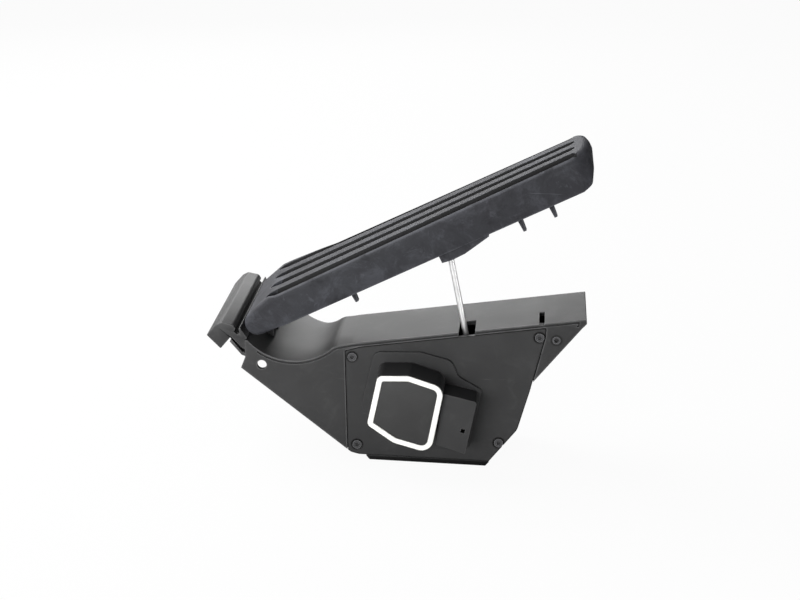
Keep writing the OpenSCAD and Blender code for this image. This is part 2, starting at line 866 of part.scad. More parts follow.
module sensor_chips() {
    ring_r = (magnet_r[0] + magnet_r[1]) / 2;
    color([0.08, 0.08, 0.08]) {
        for (s = [-1, 1])
            translate([shaft_x - chip_w / 2, board_y, shaft_z + s * ring_r - chip_w / 2]) cube([chip_w, chip_t, chip_w]);
        translate([big_chip[0], board_y, big_chip[1]]) cube([big_chip_w, chip_t, big_chip_w]);
    }
}

// Contacts run up from the socket and turn towards the board
module contacts(gap) {
    w = contact_w + 2 * gap;
    in_connector() for (i = [0:contact_n - 1]) {
        x = (i - (contact_n - 1) / 2) * contact_pitch;
        turn_z = socket_deep + contact_foot + contact_step * i;
        reach = socket_w / 2 + contact_reach + x;
        translate([x - w / 2, board_y - gap, contact_foot]) cube([w, w, turn_z - contact_foot]);
        translate([x + w / 2 - reach, board_y - gap, turn_z - w / 2]) cube([reach, w, w]);
    }
}

module contact_pins() {
    color([0.75, 0.62, 0.3]) contacts(0);
}

module near_bush() {
    color([0.72, 0.55, 0.3])
        ring_along_y(shaft, shaft_d / 2 + running, shaft_bush_r, near_bush_y[0], near_bush_y[1]);
}

module far_bush() {
    color([0.72, 0.55, 0.3])
        ring_along_y(shaft, shaft_d / 2 + running, shaft_bush_r, far_bush_y[0], far_bush_y[1]);
}

module sensor_shaft() {
    color([0.75, 0.76, 0.78]) rod_along_y(shaft, shaft_d / 2, shaft_y0, far_bush_y[1] - 1);
}

module shaft_clip() {
    color([0.5, 0.5, 0.52])
        ring_along_y(shaft, shaft_d / 2, shaft_clip_r, near_bush_y[0] - shaft_clip_y, near_bush_y[0] - shaft_clip_y + shaft_clip_t);
}

module rotor() {
    color([0.16, 0.16, 0.17]) ring_along_y(shaft, shaft_d / 2, rotor_r, rotor_y[0], rotor_y[1]);
}

module magnet() {
    color([0.4, 0.4, 0.42]) ring_along_y(shaft, magnet_r[0], magnet_r[1], magnet_y0, rotor_y[0]);
}

// Lever and springs

module lever_arm_2d(r_hub, r_eye) {
    circle(r = r_hub, $fn = round_fn);
    translate([lever_l, 0]) circle(r = r_eye, $fn = round_fn);
    polygon([[0, -r_hub + web_in], [lever_l, -r_eye + web_in], [lever_l, r_eye - web_in], [0, r_hub - web_in]]);
}

module lever() {
    arm_y0 = rod_y - fork_gap / 2 - cheek_t;
    arm_y1 = rod_y + fork_gap / 2 + cheek_t;
    color([0.2, 0.2, 0.21]) in_lever() difference() {
        union() {
            prism_y(arm_y0, arm_y1) lever_arm_2d(hub_r, eye_r);
            rod_along_y([0, 0], hub_r, hub_y0, hub_y1);
            prism_y(spring_y - knob_w / 2, spring_y + knob_w / 2) {
                translate([spring_arm, 0]) circle(r = knob_r, $fn = round_fn);
                translate([0, -arm_h / 2]) square([spring_arm, arm_h]);
            }
        }
        rod_along_y([0, 0], shaft_d / 2, hub_y0 - past, hub_y1 + past);
        // Fork for the pushrod
        translate([lever_l - fork_deep, rod_y - fork_gap / 2, -fork_deep]) cube([3 * fork_deep, fork_gap, 2 * fork_deep]);
        // Oblong holes for the cross pin
        prism_y(arm_y0 - past, arm_y1 + past) translate([lever_l, slip_shift]) {
            for (s = [-1, 1])
                translate([s * (slip_along - slip_across), 0]) circle(r = cross_d / 2 + slip_across, $fn = round_fn);
            square([2 * (slip_along - slip_across), cross_d + 2 * slip_across], center = true);
        }
    }
}

module spring_cup() {
    color([0.7, 0.7, 0.66]) difference() {
        union() {
            translate([cup_at[0], spring_y, cup_at[1] - cup_drop])
                cylinder(r = cup_r, h = cup_t, $fn = round_fn);
            translate([cup_at[0] - saddle_l / 2, spring_y - saddle_w / 2, cup_at[1] - cup_drop + cup_t - overlap])
                cube([saddle_l, saddle_w, cup_drop - cup_t - saddle_lift + overlap]);
            translate([cup_at[0], spring_y, cup_at[1] - cup_drop - knob_t])
                cylinder(r = guide_r, h = knob_t + overlap, $fn = round_fn);
        }
        rod_along_y(cup_at, knob_r + running, spring_y - cup_r - past, spring_y + cup_r + past);
    }
}

// A coil spring swept along its helix, with closed ends
module coil(d, wire, turns, z0, z1) {
    sides = 8;
    steps = 16;
    n = turns * steps;
    rise = z1 - z0 - wire;
    ring_points = [
        for (i = [0:n], k = [0:sides - 1])
            let (a = 360 * i / steps, b = 360 * k / sides, r = d / 2 + wire / 2 * cos(b))
            [r * cos(a), r * sin(a), z0 + wire / 2 + rise * i / n + wire / 2 * sin(b)]
    ];
    skin = [
        for (i = [0:n - 1], k = [0:sides - 1])
            let (m = (k + 1) % sides)
            [i * sides + k, i * sides + m, (i + 1) * sides + m, (i + 1) * sides + k]
    ];
    ends = [[for (k = [sides - 1:-1:0]) k], [for (k = [0:sides - 1]) n * sides + k]];
    polyhedron(ring_points, concat(skin, ends), convexity = 10);
}

module outer_spring() {
    color([0.45, 0.46, 0.48]) translate([cup_at[0], spring_y, 0])
        coil(spring_d, wire_d, spring_turns, spring_low, spring_high);
}

module inner_spring() {
    color([0.45, 0.46, 0.48]) translate([cup_at[0], spring_y, 0])
        coil(inner_spring_d, inner_wire_d, inner_turns, spring_low, spring_high);
}

// Pushrod

module pushrod() {
    color([0.82, 0.82, 0.83]) union() {
        rod_along_y(head, head_d / 2, rod_y - head_w / 2, rod_y + head_w / 2);
        translate([head[0], rod_y, head[1]])
            rotate([0, 180 - rod_lean, 0]) cylinder(r = rod_d / 2, h = rod_l, $fn = round_fn);
        rod_along_y(crank, cross_d / 2 + 1, rod_y - rod_d / 2, rod_y + rod_d / 2);
        rod_along_y(crank, cross_d / 2, rod_y - fork_gap / 2 - cheek_t, rod_y + fork_gap / 2 + cheek_t);
    }
}

// Room for the rod's swing below its head, in the treadle's axes
module rod_room(r) {
    lean_rest = rod_lean - pad_tilt;
    swing = [lean_rest - 3, lean_rest + 16];
    deep = 3 * r;
    prism_y(rod_y - r, rod_y + r) polygon([
        [head_u - r, -head_v],
        [head_u - r + deep * tan(swing[0]), -head_v - deep],
        [head_u + r + deep * tan(swing[1]), -head_v - deep],
        [head_u + r, -head_v]
    ]);
}

module rod_socket() {
    color([0.12, 0.12, 0.13]) in_pad() difference() {
        translate([head_u, rod_y, boss_v - socket_out])
            cylinder(r = socket_r, h = socket_h, $fn = round_fn);
        rod_along_y([head_u, -head_v], head_d / 2 + running, rod_y - head_w / 2 - running, rod_y + head_w / 2 + running);
        rod_room(rod_d / 2 + overlap);
    }
}

// Treadle

module treadle_2d() {
    circle(r = nose_r, $fn = nose_fn);
    polygon(rounded(treadle_verts));
}

module treadle_inside_2d() {
    top0 = pad_top0 - tread_t;
    top1 = pad_top1 - tread_t;
    hollow_r = nose_r - nose_wall;
    end_u = pad_l - skirt_t - toe_end_extra;
    union() {
        circle(r = hollow_r, $fn = nose_fn);
        polygon([
            [nose_back, hollow_r * cos(nose_turn)],
            [nose_back, -2 * pad_drop],
            [end_u - 2 * toe_step, -2 * pad_drop],
            [end_u - 2 * toe_step, -pad_drop],
            [end_u - toe_step, -pad_drop / 2],
            [end_u, pad_rise / 2],
            [end_u, top1],
            [pad_rise, top0]
        ]);
        // The nose is open below, where the hinge lugs come up
        translate([-nose_r - past, -nose_r - past]) square([nose_r + past, nose_r + past - skirt_t]);
    }
}

// Plan of the treadle in u and y, its edges moved in by d
module treadle_plan_2d(d) {
    v = [
        [-nose_r - past, pad_y - pad_width(-nose_r) / 2, 0],
        [pad_l - toe_bow, pad_y - pad_width(pad_l) / 2, toe_corner_r],
        [pad_l + overlap, pad_y, toe_bow_r],
        [pad_l - toe_bow, pad_y + pad_width(pad_l) / 2, toe_corner_r],
        [flare_u[1], pad_y + pad_width(flare_u[1]) / 2, flare_bend[1]],
        [flare_u[0], pad_y + pad_width(flare_u[0]) / 2 + pad_flare, flare_bend[0]],
        [-nose_r - past, pad_y + pad_width(-nose_r) / 2 + pad_flare, 0]
    ];
    polygon(rounded(inset(v, d)));
}

module pad_solid(d) {
    intersection() {
        prism_y(-tall / 2, tall / 2) children();
        translate([0, 0, -tall / 2]) linear_extrude(tall) treadle_plan_2d(d);
    }
}

module groove(i) {
    n0 = groove_u[0];
    n1 = groove_u[1];
    turn = atan2(groove_y(i, n1) - groove_y(i, n0), n1 - n0);
    translate([n0, groove_y(i, n0), pad_top0 - groove_d])
        rotate([0, -atan2(pad_crown, pad_l), turn])
            translate([0, -groove_w / 2, 0]) cube([(n1 - n0) / cos(turn), groove_w, 3 * groove_d]);
}

module treadle_ribs() {
    rib_h = pad_rise - tread_t + overlap - rib_v;
    intersection() {
        pad_solid(skirt_t - overlap) treadle_2d();
        union() {
            for (s = [-1, 1])
                translate([rib_u0, pad_y + s * rib_y - rib_t / 2, rib_v]) cube([pad_l - rib_u0 - skirt_t, rib_t, rib_h]);
            for (u = rib_u)
                translate([u - rib_t / 2, pad_y - pad_w_heel, rib_v]) cube([rib_t, 2 * pad_w_heel, rib_h]);
        }
    }
}

module peg(u, drop) {
    prism_y(peg_y - peg_w / 2, peg_y + peg_w / 2)
        polygon([[u - peg_tip, -drop], [u + peg_tip, -drop], [u + peg_root[1], peg_top_v], [u + peg_root[0], peg_top_v]]);
}

module rod_boss() {
    prism_y(boss_y[0], boss_y[1]) polygon(boss_verts);
}

module treadle() {
    color([0.285, 0.285, 0.305]) in_pad() difference() {
        union() {
            difference() {
                pad_solid(0) treadle_2d();
                pad_solid(skirt_t) treadle_inside_2d();
                for (i = [0:groove_n - 1]) groove(i);
            }
            treadle_ribs();
            for (y = knuckle_at)
                prism_y(y - knuckle_w / 2, y + knuckle_w / 2) union() {
                    circle(r = nose_r - nose_skin, $fn = round_fn);
                    square(knuckle_web);
                }
            for (p = pegs) peg(p[0] * pad_l, p[1]);
            rod_boss();
        }
        for (y = knuckle_at)
            rod_along_y([0, 0], hinge_bush_r + seat, y - knuckle_w / 2 - past, y + knuckle_w / 2 + past);
        translate([head_u, rod_y, boss_v - past])
            cylinder(r = socket_r + seat, h = socket_h + past - socket_out, $fn = round_fn);
    }
}

module hinge_bushes() {
    color([0.72, 0.7, 0.6]) for (y = knuckle_at)
        ring_along_y(pivot, pin_d / 2 + running, hinge_bush_r, y - knuckle_w / 2, y + knuckle_w / 2);
}

module hinge_pin() {
    color([0.72, 0.73, 0.75]) rod_along_y(pivot, pin_d / 2, pin_y0, pin_y1);
}

module hinge_clips() {
    color([0.5, 0.5, 0.52]) {
        ring_along_y(pivot, pin_d / 2, clip_r, pin_y0 + clip_in, pin_y0 + clip_in + clip_w);
        ring_along_y(pivot, pin_d / 2, clip_r, pin_y1 - clip_in - clip_w, pin_y1 - clip_in);
    }
}

// Heel bar

module heel_bar() {
    color([0.27, 0.27, 0.275]) prism_y(near_y, bar_y1) {
        translate(bar_at) rotate(-bar_turn) polygon(rounded(bar_verts));
        // Wedge that seats on the housing's heel, with a thin raised lip
        translate(heel_top) polygon(wedge_verts);
    }
}

module heel_strip() {
    color([0.3, 0.3, 0.3]) prism_y(near_y, bar_y1) translate(heel_top) polygon(strip_verts);
}

module toe_pin() {
    color([0.3, 0.3, 0.31]) difference() {
        rod_along_y(toe_pin_at, toe_pin_r, near_y - toe_pin_out, near_y + toe_pin_l - toe_pin_out);
        rod_along_y(toe_pin_at, toe_pin_r - toe_pin_wall, near_y - past, near_y + toe_pin_wall);
    }
}

housing();
foot_plate();
foot_screws();
cover();
cover_gasket();
cover_screws();
sensor_cap();
sensor_seal();
sensor_board();
sensor_chips();
contact_pins();
near_bush();
far_bush();
sensor_shaft();
shaft_clip();
rotor();
magnet();
lever();
spring_cup();
outer_spring();
inner_spring();
pushrod();
rod_socket();
treadle();
hinge_bushes();
hinge_pin();
hinge_clips();
heel_bar();
heel_strip();
toe_pin();
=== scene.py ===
import json
import math

import bmesh
import bpy
from mathutils import Matrix, Vector


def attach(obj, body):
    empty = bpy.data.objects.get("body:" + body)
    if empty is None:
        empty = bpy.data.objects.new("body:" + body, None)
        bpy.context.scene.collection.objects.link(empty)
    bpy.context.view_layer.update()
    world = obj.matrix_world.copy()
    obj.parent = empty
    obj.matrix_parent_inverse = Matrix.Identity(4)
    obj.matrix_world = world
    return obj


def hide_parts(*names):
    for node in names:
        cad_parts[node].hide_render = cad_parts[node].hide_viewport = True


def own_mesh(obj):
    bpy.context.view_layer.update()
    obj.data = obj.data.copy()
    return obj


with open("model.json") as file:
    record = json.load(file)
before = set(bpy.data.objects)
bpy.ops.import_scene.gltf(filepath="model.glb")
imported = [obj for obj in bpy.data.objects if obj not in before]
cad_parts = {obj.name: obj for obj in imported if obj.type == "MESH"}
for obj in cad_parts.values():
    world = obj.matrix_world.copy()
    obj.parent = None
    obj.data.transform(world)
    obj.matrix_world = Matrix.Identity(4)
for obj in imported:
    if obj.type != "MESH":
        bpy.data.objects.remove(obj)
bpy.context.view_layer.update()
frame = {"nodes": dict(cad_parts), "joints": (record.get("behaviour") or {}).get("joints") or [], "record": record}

nodes = frame["nodes"]
record = frame["record"]
joints = {j["name"]: j for j in frame["joints"]}
slot_of = {s["node"]: s["material_slot"] for s in record["subparts"]}
body_of = {n: body for body, group in record["behaviour"]["bodies"].items() for n in group}
MM = 0.001


# Sizes that the looks share with the solids

pivot = Vector(joints["pedal_hinge"]["pos_m"])
PAD_TILT = math.radians(27.5)
PAD_LENGTH = 272 * MM
# At the heel and at the toe: the tread above the hinge line, and the treadle's width
PAD_TOP = (14.6 * MM, 16.3 * MM)
PAD_WIDTH = (76 * MM, 57 * MM)
PAD_MIDDLE = 5.5 * MM
# The far side flares out at the heel, as far as the first bend, and is straight from the second
FLARE = 6 * MM
FLARE_BEND = (26 * MM, 62 * MM)
# Radius of the treadle's nose round the hinge line
NOSE = 9.3 * MM

COVER_FACE = -30 * MM
PLATFORM_FACE = -32 * MM
COVER_SCREWS = [(-57.4 * MM, 82.5 * MM), (-53 * MM, 12 * MM), (79 * MM, 105 * MM), (52.7 * MM, 19.5 * MM)]
SCREW_HEAD = 3.4 * MM
TOE_PIN = (91.2 * MM, 103.5 * MM)
TOE_PIN_R = 3 * MM


# Sizes of the treadle's rounded form

# Radii of the top rim, of the edges seen from the side, and of the crest between heel ramp and tread
RIM = 5 * MM
SIDE_EDGE = 4.4 * MM
CREST = 12.4 * MM
# How far ahead of the hinge line the middle of the crest's arc lies
CREST_AT = 18.5 * MM
# From above: radii of the toe's corners and front and of the flare's bends, of which the second is hollow
TOE_CORNER = 13 * MM
TOE_FRONT = 60 * MM
FLARE_RADII = (24 * MM, -50 * MM)
# How far the toe's corners lie behind its tip, and the outline's heel end behind the hinge line
TOE_BOW = 4 * MM
BEHIND_HINGE = 30 * MM
# The cutting forms stand this much proud of the solid's own faces, and a little more at the toe's tip
PROUD = 0.02 * MM
TIP_PROUD = 0.5 * MM

GROOVES = 4
# The treadle's width in groove pitches, and half a groove's width in pitches
GROOVE_PITCHES = 3.65
GROOVE_SHARE = 0.23
GROOVE_DEEP = 3.9 * MM
# Along the treadle: where a groove starts, has its full width and ends
GROOVE_START = 14 * MM
GROOVE_FULL = 22 * MM
GROOVE_END = PAD_LENGTH - 10.5 * MM
GROOVE_ROUND = 5 * MM
# Half of a groove's section in half widths and depths, from above the tread to its middle
GROOVE_HALF = [(-1.35, 1.6), (-1.18, 0.12), (-1.03, -0.18), (-0.97, -0.75), (-0.72, -0.97), (0, -1.04)]


# Shader nodes

def new_material(name):
    material = bpy.data.materials.new(name)
    material.use_nodes = True
    tree = material.node_tree
    tree.nodes.clear()
    output = tree.nodes.new("ShaderNodeOutputMaterial")
    shader = tree.nodes.new("ShaderNodeBsdfPrincipled")
    tree.links.new(shader.outputs["BSDF"], output.inputs["Surface"])
    return material, tree, shader


def feed(tree, value, socket):
    """Links a node's output to the socket, or sets the socket to a number or a colour."""
    if isinstance(value, bpy.types.NodeSocket):
        tree.links.new(value, socket)
    elif isinstance(value, (int, float)):
        socket.default_value = value
    else:
        socket.default_value = (*value, 1.0)


def object_place(tree):
    """A point's place on its object, which is its place in the row frame at rest."""
    return tree.nodes.new("ShaderNodeTexCoord").outputs["Object"]


def place(tree, stretch=(1, 1, 1), turn=(0, 0, 0)):
    """Object coordinates, stretched and turned."""
    mapping = tree.nodes.new("ShaderNodeMapping")
    mapping.inputs["Scale"].default_value = stretch
    mapping.inputs["Rotation"].default_value = turn
    tree.links.new(object_place(tree), mapping.inputs["Vector"])
    return mapping.outputs["Vector"]


def split_xyz(tree, vector):
    node = tree.nodes.new("ShaderNodeSeparateXYZ")
    tree.links.new(vector, node.inputs["Vector"])
    return node.outputs["X"], node.outputs["Y"], node.outputs["Z"]


def noise(tree, vector, scale, detail=4.0, roughness=0.55, distortion=0.0):
    node = tree.nodes.new("ShaderNodeTexNoise")
    node.inputs["Scale"].default_value = scale
    node.inputs["Detail"].default_value = detail
    node.inputs["Roughness"].default_value = roughness
    node.inputs["Distortion"].default_value = distortion
    tree.links.new(vector, node.inputs["Vector"])
    return node.outputs["Fac"]


def ramp(tree, value, low, high, start=0.0, end=1.0):
    """Maps low to high onto start to end, smoothly and clamped."""
    node = tree.nodes.new("ShaderNodeMapRange")
    node.interpolation_type = "SMOOTHSTEP"
    node.inputs["From Min"].default_value = low
    node.inputs["From Max"].default_value = high
    node.inputs["To Min"].default_value = start
    node.inputs["To Max"].default_value = end
    tree.links.new(value, node.inputs["Value"])
    return node.outputs["Result"]


def mix(tree, factor, first, second):
    """The first colour where the factor is 0, the second where it is 1."""
    node = tree.nodes.new("ShaderNodeMix")
    node.data_type = "RGBA"
    feed(tree, factor, node.inputs["Factor"])
    feed(tree, first, node.inputs["A"])
    feed(tree, second, node.inputs["B"])
    return node.outputs["Result"]


def calculate(tree, operation, first, second=0.0):
    """The result of a Math node, clamped to 0 to 1 except for a difference."""
    node = tree.nodes.new("ShaderNodeMath")
    node.operation = operation
    node.use_clamp = operation != "SUBTRACT"
    feed(tree, first, node.inputs[0])
    feed(tree, second, node.inputs[1])
    return node.outputs["Value"]


def times(tree, first, *others):
    """The product of masks and numbers."""
    product = first
    for other in others:
        product = calculate(tree, "MULTIPLY", product, other)
    return product


def bump(tree, shader, heights, edge=0.15 * MM):
    """Rounds edges by the given radius and chains bumps, given as (height, strength, distance)."""
    bevel = tree.nodes.new("ShaderNodeBevel")
    bevel.samples = 6
    bevel.inputs["Radius"].default_value = edge
    last = bevel.outputs["Normal"]
    for height, strength, distance in heights:
        node = tree.nodes.new("ShaderNodeBump")
        node.inputs["Strength"].default_value = strength
        node.inputs["Distance"].default_value = distance
        tree.links.new(height, node.inputs["Height"])
        tree.links.new(last, node.inputs["Normal"])
        last = node.outputs["Normal"]
    tree.links.new(last, shader.inputs["Normal"])


def openness(tree, reach, inside=False):
    """1 on open ground, less where the piece's own surfaces within reach close in, outside or inside it."""
    node = tree.nodes.new("ShaderNodeAmbientOcclusion")
    node.samples = 6
    node.inside = inside
    node.only_local = True
    node.inputs["Distance"].default_value = reach
    return node.outputs["AO"]


def edge_wear_and_highlight(tree, reach):
    """1 where an edge stands out, broken up by noise: paler edges that are partly wear and partly painted
    highlight.
    """
    edge = ramp(tree, openness(tree, reach, inside=True), 0.55, 0.9, 1.0, 0.0)
    patches = ramp(tree, noise(tree, place(tree), 90, 5), 0.3, 0.6, 0.45, 1.0)
    return times(tree, edge, patches)


def scratches(tree, turn):
    """Fine lines along a turned X axis."""
    scale_along, scale_across = 14.0, 420.0
    lines = noise(tree, place(tree, (scale_along, scale_across, scale_across), turn), 1.0, 3, 0.6, 0.3)
    return ramp(tree, lines, 0.70, 0.76)


# Materials: every one is a chain of procedural nodes around one Principled shader

# Painted shade in the joint round the cover and round screw heads and the toe pin
PAINTED_GAP_SHADE = (0.002, 0.002, 0.002)
PLATFORM_EDGE_TONE = (0.026, 0.026, 0.0265)
# Painted shade on the sensor box's faces that point up
UPPER_SIDE_SHADE = (0.004, 0.004, 0.0045)
# Painted shade in the tread grooves
GROOVE_SHADE = (0.003, 0.003, 0.0035)
SMEAR_TONE = (0.070, 0.073, 0.086)
BLOT_TONE = (0.088, 0.091, 0.105)
TRODDEN_TONE = (0.010, 0.010, 0.013)


def moulded(name, dark, pale, rough=0.45, grain=0.18, scuff=0.25, specular=0.35,
            rim=1.3 * MM, wear_and_highlight=0.8, shade_reach=3 * MM, shade_keeps=0.3, edge=0.15 * MM, finish=None):
    """Moulded plastic: fine spark-eroded grain, cloudy tone, faint scuffs, paler edges that are partly wear and
    partly painted highlight, and painted shade where the piece closes in.

    rim and seam are how far the paler edges and the painted shade reach, worn is how strong the paler edges
    are and dusk how much tone the painted shade keeps. edge is the radius that sharp edges are shaded with, and
    finish(tree, tone) adds what one piece has of its own.
    """
    material, tree, shader = new_material(name)
    vector = place(tree)
    clouds = noise(tree, vector, 22, 5, 0.6)
    patches = noise(tree, vector, 60, 5, 0.65, 0.6)
    fine = noise(tree, vector, 1600, 2, 0.5)
    # Pale tone of scuffs and scratches, and of paler edges that are partly wear and partly painted highlight
    scuff_and_highlight_tone = [c * 2.6 + 0.03 for c in pale]
    # Tone of the painted shade
    painted_shade_tone = [c * shade_keeps for c in dark]
    marks = calculate(tree, "MAXIMUM", scratches(tree, (0.3, 0.5, 0.2)), scratches(tree, (1.1, -0.7, 0.9)))
    tone = mix(tree, ramp(tree, clouds, 0.3, 0.7), dark, pale)
    tone = mix(tree, times(tree, ramp(tree, patches, 0.5, 0.75), 0.5 * scuff), tone, scuff_and_highlight_tone)
    tone = mix(tree, times(tree, marks, 1.4 * scuff), tone, scuff_and_highlight_tone)
    # Paler edges: partly wear, partly painted highlight
    tone = mix(tree, times(tree, edge_wear_and_highlight(tree, rim), wear_and_highlight), tone, scuff_and_highlight_tone)
    # Painted shade where the piece's own surfaces close in, as in seams, grooves and hollows
    tone = mix(tree, ramp(tree, openness(tree, shade_reach), 0.35, 0.85), painted_shade_tone, tone)
    if finish:
        tone = finish(tree, tone)
    tree.links.new(tone, shader.inputs["Base Color"])
    gloss = ramp(tree, patches, 0.3, 0.75, rough - 0.01, rough + 0.03)
    tree.links.new(gloss, shader.inputs["Roughness"])
    shader.inputs["Specular IOR Level"].default_value = specular
    bump(tree, shader, [(fine, grain, 0.12 * MM), (patches, 0.02, 0.3 * MM)], edge)
    return material


def cover_finish(tree, tone):
    """Painted shade in the joint round the cover and round its screws, and painted shade on the sensor box's upper
    sides.
    """
    _, y, _ = split_xyz(tree, object_place(tree))
    edge = ramp(tree, openness(tree, 1.2 * MM, inside=True), 0.6, 0.92, 1.0, 0.0)
    platform = ramp(tree, y, PLATFORM_FACE - 1.0 * MM, PLATFORM_FACE - 0.5 * MM)
    face = ramp(tree, y, COVER_FACE - 0.8 * MM, COVER_FACE - 0.3 * MM)
    tone = mix(tree, times(tree, edge, platform), tone, PLATFORM_EDGE_TONE)
    # Painted shade along the edges of the cover's face, in its joint
    tone = mix(tree, times(tree, edge, face), tone, PAINTED_GAP_SHADE)
    # Painted shade: the sensor box's faces that point up are darkened
    geometry = tree.nodes.new("ShaderNodeNewGeometry")
    _, _, up = split_xyz(tree, geometry.outputs["True Normal"])
    upper_shade = ramp(tree, up, 0.4, 0.8, 0.0, 0.75)
    box = calculate(tree, "LESS_THAN", y, PLATFORM_FACE - 0.5 * MM)
    tone = mix(tree, times(tree, upper_shade, box), tone, UPPER_SIDE_SHADE)
    return painted_shade_rings(tree, tone, COVER_SCREWS, SCREW_HEAD)


def housing_finish(tree, tone):
    """Painted shade round the pin by the toe."""
    return painted_shade_rings(tree, tone, [TOE_PIN], TOE_PIN_R)


def painted_shade_rings(tree, tone, places, radius):
    """Painted shade round heads of the given radius on the side's face, at places given in x and z."""
    here = object_place(tree)
    for x, z in places:
        away = tree.nodes.new("ShaderNodeVectorMath")
        away.operation = "DISTANCE"
        away.inputs[1].default_value = (x, COVER_FACE, z)
        tree.links.new(here, away.inputs[0])
        ring = ramp(tree, away.outputs["Value"], radius + 0.8 * MM, radius + 2.0 * MM, 0.95, 0.0)
        tone = mix(tree, ring, tone, PAINTED_GAP_SHADE)
    return tone


def tread_finish(tree, tone):
    """Painted shade in the grooves, and mottled bluish scuffs along the treadle."""
    smears = noise(tree, place(tree), 38, 6, 0.72, 0.5)
    blots = noise(tree, place(tree), 95, 5, 0.7, 0.8)
    tone = mix(tree, ramp(tree, smears, 0.48, 0.7, 0.0, 0.5), tone, SMEAR_TONE)
    tone = mix(tree, ramp(tree, blots, 0.56, 0.74, 0.0, 0.4), tone, BLOT_TONE)
    tone = mix(tree, ramp(tree, smears, 0.3, 0.48, 0.75, 0.0), tone, TRODDEN_TONE)
    # Painted shade in the grooves below the tread
    height = above_tread(tree)
    sunk = ramp(tree, height, -0.5 * MM, -0.2 * MM, 1.0, 0.0)
    return mix(tree, times(tree, sunk, in_grooves(tree, height)), tone, GROOVE_SHADE)


def above_tread(tree):
    """How far a point lies above the tread's plane, less than 0 in a groove."""
    square = Vector((-math.sin(PAD_TILT), 0, math.cos(PAD_TILT)))
    along = Vector((math.cos(PAD_TILT), 0, math.sin(PAD_TILT)))
    slope = (PAD_TOP[1] - PAD_TOP[0]) / PAD_LENGTH
    normal = square - along * slope
    dot = tree.nodes.new("ShaderNodeVectorMath")
    dot.operation = "DOT_PRODUCT"
    dot.inputs[1].default_value = normal
    tree.links.new(object_place(tree), dot.inputs[0])
    return calculate(tree, "SUBTRACT", dot.outputs["Value"], pivot.dot(normal) + PAD_TOP[0])


def in_grooves(tree, height):
    """1 within the tread plate and away from the treadle's rim, where only grooves lie below the tread."""
    plate_bottom = -4.6 * MM
    heel_x = pivot.x + 14 * MM
    toe_x = pivot.x + (PAD_LENGTH - 17.5 * MM) * math.cos(PAD_TILT)
    narrowing = (PAD_WIDTH[0] - PAD_WIDTH[1]) / 2 / PAD_LENGTH / math.cos(PAD_TILT)
    outermost = PAD_WIDTH[0] * ((GROOVES - 1) / 2 + GROOVE_SHARE) / GROOVE_PITCHES
    x, y, _ = split_xyz(tree, object_place(tree))
    ahead = calculate(tree, "SUBTRACT", x, pivot.x)
    across = calculate(tree, "ABSOLUTE", calculate(tree, "SUBTRACT", y, PAD_MIDDLE))
    spread = calculate(tree, "ADD", across, times(tree, ahead, narrowing))
    near = calculate(tree, "LESS_THAN", spread, outermost)
    plate = calculate(tree, "GREATER_THAN", height, plate_bottom)
    heel = calculate(tree, "GREATER_THAN", x, heel_x)
    toe = calculate(tree, "LESS_THAN", x, toe_x)
    return times(tree, near, plate, heel, toe)


def metal(name, tone, rough, along=(8, 900, 900), shine=1.0):
    """Drawn or ground metal with faint stains and fine lines, whose scales in x, y and z are along."""
    material, tree, shader = new_material(name)
    lines = noise(tree, place(tree, along), 1.0, 3, 0.6)
    stains = noise(tree, place(tree), 60, 4, 0.6)
    darker = [c * 0.78 for c in tone]
    tree.links.new(mix(tree, ramp(tree, stains, 0.35, 0.7), darker, tone), shader.inputs["Base Color"])
    shader.inputs["Metallic"].default_value = shine
    tree.links.new(ramp(tree, lines, 0.3, 0.7, rough - 0.06, rough + 0.1), shader.inputs["Roughness"])
    bump(tree, shader, [(lines, 0.12, 0.05 * MM)])
    return material


def sealant(name):
    """White silicone bead: soft sheen, slight waviness, a little dust."""
    material, tree, shader = new_material(name)
    dust = noise(tree, place(tree), 260, 4, 0.6)
    waves = noise(tree, place(tree), 120, 3, 0.5)
    tone = mix(tree, ramp(tree, dust, 0.45, 0.8), (0.90, 0.90, 0.86), (0.80, 0.80, 0.76))
    tree.links.new(tone, shader.inputs["Base Color"])
    tree.links.new(ramp(tree, dust, 0.3, 0.8, 0.35, 0.5), shader.inputs["Roughness"])
    bump(tree, shader, [(waves, 0.2, 0.4 * MM)])
    return material


